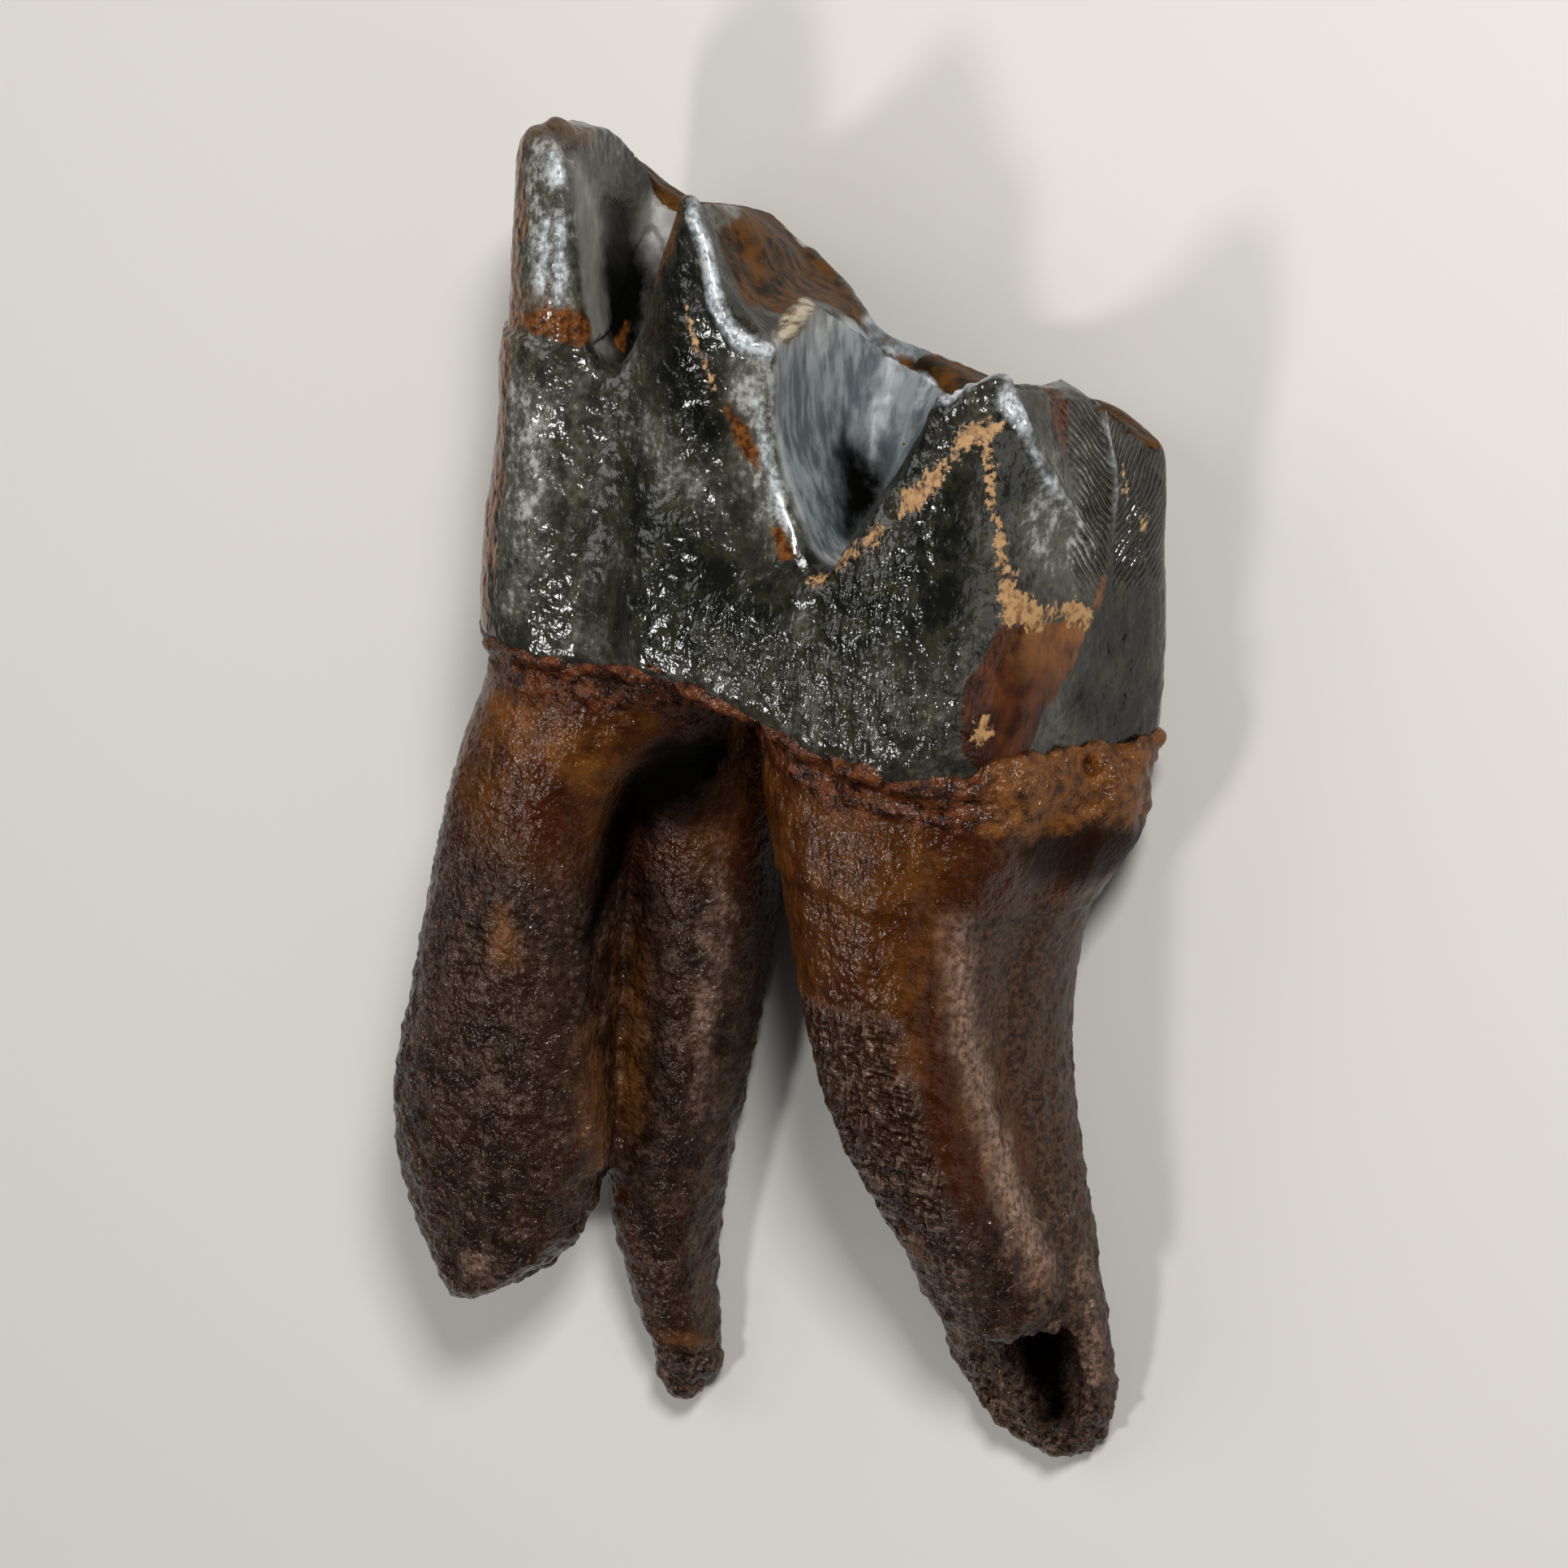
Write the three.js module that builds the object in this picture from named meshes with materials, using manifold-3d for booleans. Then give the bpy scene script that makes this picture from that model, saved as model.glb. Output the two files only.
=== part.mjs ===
// Lower right second molar of a woolly rhinoceros: a fossil tooth with both roots, lying on its cheek side.
// Millimetres. +X runs towards the back of the jaw, +Y towards the chewing surface, and +Z towards the tongue,
// which is up as the tooth lies. The floor is z = 0. The origin is on the floor, under the middle of the tooth.
import * as THREE from "three";
import { mergeVertices } from "three/addons/utils/BufferGeometryUtils.js";
import Module from "manifold-3d";

const wasm = await Module();
wasm.setup();

// ---- driving dimensions --------------------------------------------------------------------------------------

// The tooth is drawn with x = 0 near the front of its neck and y = 0 at the neck, and moved to the origin last.
const MIDDLE = { x: 22.7, y: -12.0 };

const REST_Z = 0.6; // the tooth is drawn this high above z = 0, and lies on small flats at that level
const SEAM = 0.3; // width of the thin cuts between the named parts
const HALVES_X = 20.3; // the crown parts here into its front and back half
const BODY = { x: 23, z: 14, foot: -8, top: 48 }; // core line of the crown, and where its walls start and end
const BELLY = { out: 1.2, y: 8, reach: 10 }; // swelling of the crown walls just above the neck

// The back of the crown is worn to a slanting facet: a point on it, and how far it leans and turns.
const BACK_FACET = { x: 40.6, y: 32.4, z: 24, lean: 22.5, turn: 10.3 };

// Colour of each finish, with its roughness.
const ENAMEL = { color: 0x474b48, roughness: 0.3 };
const DENTINE = { color: 0x6b4220, roughness: 0.42 };

// ---- shapes --------------------------------------------------------------------------------------------------

function solidOf(geometry) {
  geometry.deleteAttribute("normal");
  geometry.deleteAttribute("uv");
  const merged = mergeVertices(geometry, 1e-4);
  const made = new wasm.Manifold(
    new wasm.Mesh({
      numProp: 3,
      vertProperties: merged.attributes.position.array,
      triVerts: new Uint32Array(merged.index.array),
    }),
  );
  if (made.volume() < 0) throw new Error("a shape is inside out");
  return made;
}

// A smooth run through rows of numbers: a function of the named key that gives the other named numbers.
function track(rows, key, names) {
  const run = new THREE.CubicInterpolant(
    rows.map((row) => row[key]),
    rows.flatMap((row) => names.map((name) => row[name] ?? 0)),
    names.length,
  );
  return (place) => {
    const values = run.evaluate(place);
    return Object.fromEntries(names.map((name, i) => [name, values[i]]));
  };
}

// A closed bar of rings. place(turn, t, rim) gives the point at a turn of 0 to 1 round the ring, t of 0 to 1
// along the bar, and rim 1 on the ring or 0 at the middle of an end.
function bar(sides, steps, place) {
  const geometry = new THREE.CylinderGeometry(1, 1, 1, sides, steps);
  const position = geometry.attributes.position;
  for (let i = 0; i < position.count; i++) {
    const u = position.getX(i);
    const w = position.getZ(i);
    const turn = (Math.atan2(w, u) / (2 * Math.PI) + 1) % 1;
    const p = place(turn, position.getY(i) + 0.5, Math.hypot(u, w) > 0.5 ? 1 : 0);
    position.setXYZ(i, p.x, p.y, p.z);
  }
  return solidOf(geometry);
}

// The point of a rounded square at a turn round it, within -1 to 1 both ways.
function roundedSquare(turn, squareness) {
  const a = turn * 2 * Math.PI;
  const side = (v) => Math.sign(v) * Math.abs(v) ** (2 / squareness);
  return { u: side(Math.cos(a)), w: side(Math.sin(a)) };
}

// A root lobe of level oval slices through rows from the tip up. hx is the half width along the jaw, hz the half
// width from cheek to tongue, and turn the degrees that the slice is turned.
function lobe(rows, { sides = 20, steps = 20, squareness = 2.3 } = {}) {
  const slice = track(rows, "y", ["x", "z", "hx", "hz", "turn"]);
  const from = rows[0].y;
  const to = rows[rows.length - 1].y;
  return bar(sides, steps, (turn, t, rim) => {
    const y = THREE.MathUtils.lerp(from, to, t);
    const s = slice(y);
    const { u, w } = roundedSquare(turn, squareness);
    const offset = new THREE.Vector2(rim * u * s.hx, rim * w * s.hz);
    offset.rotateAround(new THREE.Vector2(), THREE.MathUtils.degToRad(s.turn));
    return new THREE.Vector3(s.x + offset.x, y, s.z + offset.y);
  });
}

// All that lies above the surface y = height(x, z) over the tooth.
function above(height, columns = 40, rows = 16) {
  const box = new THREE.BoxGeometry(76, 1, 44, columns, 1, rows);
  box.translate(BODY.x, 0.5, BODY.z);
  const position = box.attributes.position;
  for (let i = 0; i < position.count; i++) {
    const under = position.getY(i) < 0.5;
    position.setY(i, under ? height(position.getX(i), position.getZ(i)) : 90);
  }
  return solidOf(box);
}

// ---- crown ---------------------------------------------------------------------------------------------------

// Landmarks round the crown as [x, z], at the foot of its walls and at their top, from the back over the tongue
// side to the front and back over the cheek side.
const OUTLINE = [
  { name: "back face", foot: [46.6, 14.5], top: [44.6, 14.5] },
  { name: "back tongue corner", foot: [43.4, 22.6], top: [42.6, 22.6] },
  { name: "entoconid", foot: [36.5, 26.6], top: [38.6, 26.2] },
  { name: "middle tongue groove", foot: [27.0, 26.4], top: [26.0, 24.0] },
  { name: "metaconid", foot: [17.5, 27.4], top: [13.0, 26.6] },
  { name: "front tongue groove", foot: [10.5, 26.6], top: [6.4, 23.0] },
  { name: "paraconid pillar", foot: [4.0, 26.2], top: [-0.6, 25.6] },
  { name: "front tongue corner", foot: [-1.4, 22.6], top: [-6.0, 22.6] },
  { name: "front face", foot: [-2.4, 13.0], top: [-7.2, 13.5] },
  { name: "front cheek corner", foot: [-0.4, 4.8], top: [-4.4, 7.6] },
  { name: "protoconid lobe", foot: [10.0, -0.3], top: [7.6, 5.0] },
  { name: "protoconid flank", foot: [17.6, 1.4], top: [15.4, 5.6] },
  { name: "cheek groove", foot: [23.4, 6.0], top: [20.6, 10.0] },
  { name: "hypoconid flank", foot: [29.4, 1.6], top: [26.6, 6.2] },
  { name: "hypoconid lobe", foot: [38.0, -0.3], top: [35.6, 5.2] },
  { name: "back cheek corner", foot: [49.8, 6.0], top: [44.9, 7.0] },
];

function crownBody() {
  const core = new THREE.Vector2(BODY.x, BODY.z);
  const wall = (t) => {
    const y = THREE.MathUtils.lerp(BODY.foot, BODY.top, t);
    const belly = BELLY.out * Math.exp(-(((y - BELLY.y) / BELLY.reach) ** 2));
    const points = OUTLINE.map((mark) => {
      const foot = new THREE.Vector2(...mark.foot);
      const p = foot.lerp(new THREE.Vector2(...mark.top), t);
      p.add(p.clone().sub(core).setLength(belly));
      return new THREE.Vector3(p.x, y, p.y);
    });
    return new THREE.CatmullRomCurve3(points, true, "centripetal");
  };
  const walls = new Map();
  return bar(56, 12, (turn, t, rim) => {
    if (!rim) return new THREE.Vector3(BODY.x, THREE.MathUtils.lerp(BODY.foot, BODY.top, t), BODY.z);
    if (!walls.has(t)) walls.set(t, wall(t));
    return walls.get(t).getPoint(turn);
  });
}

// Height of the worn chewing surface along the jaw, on four lines from the cheek side to the tongue side.
const WEAR_LINES = [6, 13, 20, 26];
const WEAR = [
  { at: "front edge", x: -8.0, y: [36.8, 39.0, 38.6, 36.0] },
  { at: "paraconid", x: -3.6, y: [37.6, 42.0, 43.2, 41.0] },
  { at: "front valley", x: 2.0, y: [36.2, 39.0, 41.2, 40.4] },
  { at: "protoconid", x: 8.0, y: [37.4, 38.6, 40.0, 39.4] },
  { at: "metaconid", x: 12.4, y: [34.3, 38.0, 39.8, 40.4] },
  { at: "metalophid facet", x: 16.0, y: [32.6, 34.8, 35.8, 35.4] },
  { at: "cheek groove", x: 20.0, y: [31.2, 32.2, 32.6, 31.4] },
  { at: "hypolophid", x: 29.0, y: [28.7, 29.6, 29.6, 28.8] },
  { at: "entoconid shoulder", x: 35.8, y: [28.2, 29.4, 29.8, 29.6] },
  { at: "entoconid", x: 40.4, y: [28.2, 30.6, 32.2, 32.8] },
  { at: "back edge", x: 50.0, y: [24.6, 29.0, 31.0, 31.0] },
];

const wearLine = track(
  WEAR.map(({ x, y }) => ({ x, a: y[0], b: y[1], c: y[2], d: y[3] })),
  "x",
  ["a", "b", "c", "d"],
);

const KNOB = { x: 40.2, z: 13.4, radius: 1.7, rise: 1.3 }; // left standing on the back ridge

function chewing(x, z) {
  const { a, b, c, d } = wearLine(x);
  const worn = new THREE.CubicInterpolant(WEAR_LINES, [a, b, c, d], 1).evaluate(z)[0];
  const fromKnob = Math.hypot(x - KNOB.x, z - KNOB.z) / KNOB.radius;
  return worn + KNOB.rise * Math.exp(-(fromKnob ** 2));
}

// A valley that opens on the tongue side, as level slices from its floor up. x and half are the middle and half
// width at the tongue face; innerX, innerHalf and innerZ tell how it closes towards the cheek.
const TONGUE_FACE_Z = 26;
const VALLEY_MOUTH_Z = 34;

function valley(rows) {
  const slice = track(rows, "y", ["x", "half", "innerX", "innerHalf", "innerZ"]);
  const from = rows[0].y;
  const to = rows[rows.length - 1].y;
  return bar(28, 14, (turn, t, rim) => {
    const y = THREE.MathUtils.lerp(from, to, t);
    const s = slice(y);
    const { u, w } = roundedSquare(turn, 2.6);
    const z = THREE.MathUtils.lerp(s.innerZ, VALLEY_MOUTH_Z, (rim * w + 1) / 2);
    const out = (z - s.innerZ) / (TONGUE_FACE_Z - s.innerZ);
    const middle = THREE.MathUtils.lerp(s.innerX, s.x, out);
    const half = THREE.MathUtils.lerp(s.innerHalf, s.half, out);
    return new THREE.Vector3(middle + rim * u * half, y, z);
  });
}

const FRONT_VALLEY = [
  { y: 25.0, x: 6.6, half: 0.5, innerX: 5.6, innerHalf: 1.0, innerZ: 16.5 },
  { y: 28.0, x: 6.7, half: 1.9, innerX: 4.4, innerHalf: 2.4, innerZ: 13.5 },
  { y: 33.0, x: 6.6, half: 3.3, innerX: 3.0, innerHalf: 4.0, innerZ: 11.0 },
  { y: 39.0, x: 6.8, half: 5.0, innerX: 2.2, innerHalf: 5.2, innerZ: 9.0 },
  { y: 50.0, x: 6.8, half: 8.0, innerX: 1.8, innerHalf: 6.0, innerZ: 8.0 },
];
const BACK_VALLEY = [
  { y: 14.5, x: 28.6, half: 0.5, innerX: 27.4, innerHalf: 1.4, innerZ: 15.0 },
  { y: 18.0, x: 28.0, half: 2.1, innerX: 26.2, innerHalf: 2.8, innerZ: 13.5 },
  { y: 23.0, x: 27.8, half: 5.2, innerX: 26.0, innerHalf: 4.8, innerZ: 12.0 },
  { y: 30.0, x: 28.8, half: 7.2, innerX: 26.6, innerHalf: 7.0, innerZ: 9.5 },
  { y: 36.0, x: 29.0, half: 10.2, innerX: 27.6, innerHalf: 9.0, innerZ: 8.0 },
  { y: 46.0, x: 29.0, half: 14.0, innerX: 28.0, innerHalf: 11.0, innerZ: 7.0 },
];

// The half space behind the slanting facet at the back of the crown.
function behindFacet() {
  const size = 60;
  const box = new THREE.BoxGeometry(size, size, size).translate(size / 2, 0, 0);
  box.rotateZ(THREE.MathUtils.degToRad(BACK_FACET.lean));
  box.rotateY(THREE.MathUtils.degToRad(-BACK_FACET.turn));
  box.translate(BACK_FACET.x, BACK_FACET.y, BACK_FACET.z);
  return solidOf(box);
}

// ---- roots ---------------------------------------------------------------------------------------------------

// The tongue lobes end in breaks. Each is the [x, y] edge that is left, from the front of the lobe to its back.
const MESIAL_BREAK = [
  [-12.0, -60.5],
  [-1.8, -59.6],
  [3.2, -56.6],
  [8.0, -51.2],
  [10.3, -46.6],
  [13.0, -42.2],
  [24.0, -38.0],
];
const DISTAL_BREAK = [
  [30.0, -43.0],
  [40.3, -45.6],
  [45.1, -47.2],
  [49.4, -46.4],
  [52.6, -42.0],
  [60.0, -36.0],
];

// All that lies below a broken edge.
function breakBelow(edge) {
  const outline = new THREE.Shape(edge.map(([x, y]) => new THREE.Vector2(x, y)));
  outline.lineTo(edge[edge.length - 1][0], -90);
  outline.lineTo(edge[0][0], -90);
  const slab = new THREE.ExtrudeGeometry(outline, { depth: 60, bevelEnabled: false });
  return solidOf(slab.translate(0, 0, -20));
}

function mesialRoot() {
  const tongueLobe = lobe([
    { y: -62.0, x: 2.4, z: 13.6, hx: 5.0, hz: 2.6 },
    { y: -56.0, x: 1.4, z: 14.0, hx: 7.0, hz: 3.8 },
    { y: -50.0, x: 0.4, z: 14.8, hx: 8.8, hz: 4.8 },
    { y: -42.0, x: 0.8, z: 16.0, hx: 10.2, hz: 6.0 },
    { y: -27.0, x: 1.2, z: 17.5, hx: 8.4, hz: 7.0 },
    { y: -11.0, x: 2.4, z: 18.2, hx: 7.8, hz: 7.4 },
    { y: -2.0, x: 5.4, z: 18.0, hx: 8.8, hz: 7.8 },
    { y: 6.0, x: 6.6, z: 17.5, hx: 9.0, hz: 8.2 },
  ]);
  const cheekLobe = lobe([
    { y: -67.2, x: 14.6, z: 2.9, hx: 1.2, hz: 1.6 },
    { y: -63.5, x: 14.9, z: 3.2, hx: 3.1, hz: 2.7 },
    { y: -57.0, x: 12.9, z: 4.2, hx: 3.7, hz: 3.8 },
    { y: -49.0, x: 11.6, z: 5.5, hx: 5.0, hz: 4.6 },
    { y: -37.0, x: 12.2, z: 6.9, hx: 5.4, hz: 5.4 },
    { y: -17.0, x: 12.6, z: 8.4, hx: 6.6, hz: 6.6 },
    { y: -4.0, x: 11.2, z: 9.8, hx: 9.0, hz: 7.6 },
    { y: 6.0, x: 10.6, z: 10.2, hx: 9.6, hz: 8.0 },
  ]);
  const web = lobe(
    [
      { y: -45.0, x: 7.0, z: 11.0, hx: 2.6, hz: 6.0, turn: 28 },
      { y: -34.0, x: 5.2, z: 11.5, hx: 3.6, hz: 7.0, turn: 28 },
      { y: -17.0, x: 4.2, z: 12.5, hx: 4.8, hz: 8.2, turn: 20 },
      { y: -9.0, x: 4.8, z: 13.0, hx: 7.0, hz: 9.8, turn: 12 },
      { y: -3.0, x: 7.0, z: 13.4, hx: 10.0, hz: 11.2 },
      { y: 6.0, x: 8.6, z: 13.6, hx: 10.8, hz: 11.8 },
    ],
    { steps: 18, squareness: 2.8 },
  );
  return tongueLobe.subtract(breakBelow(MESIAL_BREAK)).add(cheekLobe).add(web);
}

function distalRoot() {
  const tongueLobe = lobe([
    { y: -50.0, x: 47.2, z: 10.2, hx: 5.6, hz: 2.6 },
    { y: -43.0, x: 45.6, z: 11.4, hx: 6.6, hz: 4.6 },
    { y: -32.0, x: 40.2, z: 15.0, hx: 7.4, hz: 6.4 },
    { y: -22.0, x: 37.0, z: 17.0, hx: 7.8, hz: 7.4 },
    { y: -10.0, x: 34.5, z: 18.3, hx: 8.8, hz: 7.8 },
    { y: -3.0, x: 33.6, z: 18.3, hx: 10.8, hz: 7.8 },
    { y: 6.0, x: 33.0, z: 18.0, hx: 11.8, hz: 8.0 },
  ]);
  const cheekLobe = lobe([
    { y: -59.6, x: 49.6, z: 2.2, hx: 2.8, hz: 1.6 },
    { y: -56.0, x: 47.8, z: 3.0, hx: 6.6, hz: 2.6 },
    { y: -50.0, x: 46.7, z: 4.6, hx: 7.9, hz: 3.8 },
    { y: -40.0, x: 45.0, z: 6.9, hx: 7.0, hz: 5.4 },
    { y: -25.0, x: 41.2, z: 8.8, hx: 6.2, hz: 7.0 },
    { y: -10.0, x: 39.6, z: 9.8, hx: 7.8, hz: 7.8 },
    { y: -3.0, x: 39.6, z: 9.8, hx: 11.2, hz: 7.8 },
    { y: 6.0, x: 38.6, z: 10.2, hx: 10.8, hz: 7.8 },
  ]);
  const web = lobe(
    [
      { y: -46.0, x: 47.2, z: 8.0, hx: 4.4, hz: 4.4 },
      { y: -32.0, x: 41.6, z: 11.5, hx: 5.6, hz: 7.0 },
      { y: -17.0, x: 38.2, z: 14.0, hx: 6.4, hz: 8.2, turn: 4 },
      { y: -9.0, x: 37.0, z: 14.0, hx: 8.8, hz: 9.6, turn: 8 },
      { y: -3.0, x: 35.6, z: 13.8, hx: 12.4, hz: 11.0, turn: 10 },
      { y: 6.0, x: 34.6, z: 13.8, hx: 13.2, hz: 11.6, turn: 8 },
    ],
    { steps: 18, squareness: 2.8 },
  );
  // The tip is broken off, so the root canal lies open at its lower end.
  const canal = lobe(
    [
      { y: -57.0, x: 51.0, z: 8.6, hx: 0.8, hz: 3.6 },
      { y: -55.0, x: 50.8, z: 8.4, hx: 2.2, hz: 5.0 },
      { y: -50.0, x: 50.0, z: 8.6, hx: 3.2, hz: 5.6 },
      { y: -46.0, x: 49.0, z: 8.4, hx: 2.6, hz: 3.2 },
      { y: -41.0, x: 47.6, z: 9.0, hx: 0.9, hz: 0.9 },
    ],
    { sides: 14, steps: 10, squareness: 2 },
  );
  return tongueLobe.subtract(breakBelow(DISTAL_BREAK)).add(cheekLobe).add(web).subtract(canal);
}

// ---- the tooth -----------------------------------------------------------------------------------------------

// The neck, where the enamel ends: its height along the jaw on the tongue side and on the cheek side.
const NECK = [
  { x: -6, tongue: 1.6, cheek: -0.6 },
  { x: 4, tongue: 1.2, cheek: -1.2 },
  { x: 17, tongue: 3.2, cheek: -0.4 },
  { x: 32, tongue: 0.4, cheek: -1.0 },
  { x: 42, tongue: 0.8, cheek: -0.6 },
  { x: 50, tongue: 3.0, cheek: 2.2 },
];
const neckLine = track(NECK, "x", ["tongue", "cheek"]);

function neck(x, z) {
  const { tongue, cheek } = neckLine(x);
  return THREE.MathUtils.lerp(cheek, tongue, THREE.MathUtils.smoothstep(z, 0, TONGUE_FACE_Z));
}

function box(minX, maxX) {
  const geometry = new THREE.BoxGeometry(maxX - minX, 200, 80);
  return solidOf(geometry.translate((minX + maxX) / 2, 0, REST_Z + 40));
}

const frontHalf = box(BODY.x - 60, HALVES_X - SEAM / 2);
const backHalf = box(HALVES_X + SEAM / 2, BODY.x + 60);
const overNeck = above((x, z) => neck(x, z) + SEAM / 2);
const underNeck = above((x, z) => neck(x, z) - SEAM / 2);
const crown = crownBody()
  .subtract(above(chewing))
  .subtract(valley(FRONT_VALLEY))
  .subtract(valley(BACK_VALLEY))
  .subtract(behindFacet())
  .intersect(overNeck);

const PARTS = {
  trigonid: { solid: crown.intersect(frontHalf), finish: ENAMEL },
  talonid: { solid: crown.intersect(backHalf), finish: ENAMEL },
  mesial_root: { solid: mesialRoot().subtract(underNeck).intersect(frontHalf), finish: DENTINE },
  distal_root: { solid: distalRoot().subtract(underNeck).intersect(backHalf), finish: DENTINE },
};

const tooth = new THREE.Group();
for (const [name, { solid, finish }] of Object.entries(PARTS)) {
  const { vertProperties, triVerts } = solid.getMesh();
  const geometry = new THREE.BufferGeometry();
  geometry.setAttribute("position", new THREE.BufferAttribute(vertProperties, 3));
  geometry.setIndex(new THREE.BufferAttribute(triVerts, 1));
  geometry.computeVertexNormals();
  const mesh = new THREE.Mesh(geometry, new THREE.MeshStandardMaterial({ ...finish, metalness: 0 }));
  mesh.name = name;
  tooth.add(mesh);
}
tooth.position.set(-MIDDLE.x, -MIDDLE.y, -REST_Z);

export default tooth;
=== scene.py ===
import bpy
import numpy as np
from mathutils import Matrix, Vector, kdtree, noise


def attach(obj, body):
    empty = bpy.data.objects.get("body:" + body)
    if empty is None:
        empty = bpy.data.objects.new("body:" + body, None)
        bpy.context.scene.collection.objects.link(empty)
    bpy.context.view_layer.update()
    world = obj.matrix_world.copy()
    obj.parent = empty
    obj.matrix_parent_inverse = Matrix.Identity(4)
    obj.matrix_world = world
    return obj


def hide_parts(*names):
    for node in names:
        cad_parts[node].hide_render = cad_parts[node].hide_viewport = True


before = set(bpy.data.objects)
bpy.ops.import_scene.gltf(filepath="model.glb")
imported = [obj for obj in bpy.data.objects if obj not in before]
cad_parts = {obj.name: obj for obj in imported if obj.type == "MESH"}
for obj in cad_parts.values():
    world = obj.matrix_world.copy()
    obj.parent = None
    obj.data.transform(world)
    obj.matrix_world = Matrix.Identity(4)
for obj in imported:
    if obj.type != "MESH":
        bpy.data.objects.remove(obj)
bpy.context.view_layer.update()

# ---- crown ---------------------------------------------------------------------------------------
# The crown is a cap of thick enamel over dentine, one piece in the real tooth.  It grew as a single
# skin, so its two halves are fused here, and what age did to it is worked into that skin: the worn
# crests and hollowed dentine on top, the polished valleys, and the facet where the next tooth rubbed.

MM = 0.001
NECK_FRONT = np.array((-22.7, 12.0, -0.6))  # places on the tooth are measured from here, in millimetres
FLOOR_Z = 0.6  # the floor, on the tooth's own scale


def only(*pieces):
    """Leaves just these pieces selected, the last one active."""
    bpy.ops.object.select_all(action="DESELECT")
    for piece in pieces:
        piece.select_set(True)
        bpy.context.view_layer.objects.active = piece


def places(piece):
    """Every vertex on the tooth: x to the back, y up from the neck, z to the tongue, in millimetres."""
    flat = np.empty(len(piece.data.vertices) * 3)
    piece.data.vertices.foreach_get("co", flat)
    return flat.reshape(-1, 3) / MM - NECK_FRONT


def put(piece, points):
    """Moves every vertex to its new place, none of them below the floor."""
    points[:, 2] = np.maximum(points[:, 2], FLOOR_Z)
    piece.data.vertices.foreach_set("co", ((points + NECK_FRONT) * MM).ravel())
    piece.data.update()


def normals(piece):
    flat = np.empty(len(piece.data.vertices) * 3)
    piece.data.vertices.foreach_get("normal", flat)
    return flat.reshape(-1, 3)


def copy_of(node):
    """A free copy of a node's mesh, its loose triangles joined into one closed shell."""
    piece = bpy.data.objects.new(node + "_copy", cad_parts[node].data.copy())
    bpy.context.scene.collection.objects.link(piece)
    piece.data.materials.clear()
    only(piece)
    bpy.ops.object.mode_set(mode="EDIT")
    bpy.ops.mesh.select_all(action="SELECT")
    bpy.ops.mesh.remove_doubles(threshold=0.01 * MM)
    bpy.ops.object.mode_set(mode="OBJECT")
    return piece


def modify(piece, kind, **settings):
    """Adds a modifier and applies it."""
    only(piece)
    modifier = piece.modifiers.new(kind.lower(), kind)
    for name, value in settings.items():
        setattr(modifier, name, value)
    bpy.ops.object.modifier_apply(modifier=modifier.name)


def rise(values, low, high):
    """0 below low, 1 above high, and a smooth rise between.  With low over high it falls instead."""
    t = np.clip((values - low) / (high - low), 0, 1)
    return t * t * (3 - 2 * t)


def smooth(piece, times, weights=None):
    """Rubs a skin smooth, where the weights say so."""
    if weights is None:
        modify(piece, "SMOOTH", factor=0.5, iterations=times)
        return
    steps = 32
    group = piece.vertex_groups.new(name="rubbed")
    levels = np.round(np.clip(weights, 0, 1) * steps).astype(int)
    for level in np.unique(levels[levels > 0]):
        group.add(np.flatnonzero(levels == level).tolist(), level / steps, "REPLACE")
    modify(piece, "SMOOTH", factor=0.5, iterations=times, vertex_group=group.name)
    piece.vertex_groups.clear()


def fused_halves(front, back):
    """Copies of a front and a back node, each reaching a little into the other."""
    halves_x = 20.3
    reach = 0.4
    halves = []
    for node_name, way in ((front, 1), (back, -1)):
        half = copy_of(node_name)
        points = places(half)
        points[np.abs(points[:, 0] - halves_x) < reach, 0] += way * reach
        put(half, points)
        halves.append(half)
    return halves


def skin_over(name, pieces, voxel):
    """Fuses overlapping pieces into one skin, and rubs the flats off its walls but not off its edges."""
    only(*pieces)
    bpy.ops.object.join()
    piece = bpy.context.view_layer.objects.active
    piece.name = piece.data.name = name
    modify(piece, "REMESH", mode="VOXEL", voxel_size=voxel * MM)
    before = places(piece)
    smooth(piece, 14)
    moved = np.linalg.norm(places(piece) - before, axis=1)
    put(piece, before)
    smooth(piece, 4)
    smooth(piece, 70, 1 - rise(moved, 0.10, 0.26))
    only(piece)
    bpy.ops.object.shade_smooth()
    return piece


def depth_in(points, *strokes):
    """How many millimetres each point is inside the nearest stroke: below 0 it is outside them all.
    A stroke is a line of places, each with half of the stroke's width there."""
    deepest = np.full(len(points), -np.inf)
    for stroke in strokes:
        stroke = np.array(stroke, float)
        for start, end in zip(stroke[:-1], stroke[1:]):
            way = (end - start)[:3]
            t = np.clip((points - start[:3]) @ way / (way @ way), 0, 1)
            off = np.linalg.norm(points - start[:3] - t[:, None] * way, axis=1)
            deepest = np.maximum(deepest, start[3] + t * (end[3] - start[3]) - off)
    return deepest


def laid_on(points, strokes):
    """The strokes with each place moved to the nearest of these points."""
    return [[(*points[np.argmin(((points - place[:3]) ** 2).sum(1))], place[3]) for place in stroke]
            for stroke in strokes]


def bead(points, stroke, width):
    """1 on the middle of a stroke, falling to nothing over about this width."""
    middle = [(*place[:3], 0) for place in stroke]
    return np.exp(-((depth_in(points, middle) / width) ** 2))


def lumps(points, size, seed, detail=1):
    """Noise from -1 to 1 whose lumps have this size in millimetres, the same or one for each axis."""
    spots = (points / np.array(size) + 31.7 * seed).tolist()
    if detail == 1:
        return np.array([noise.noise(spot) for spot in spots])
    return np.array([noise.fractal(spot, 1.0, 2.0, detail) for spot in spots])


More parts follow.
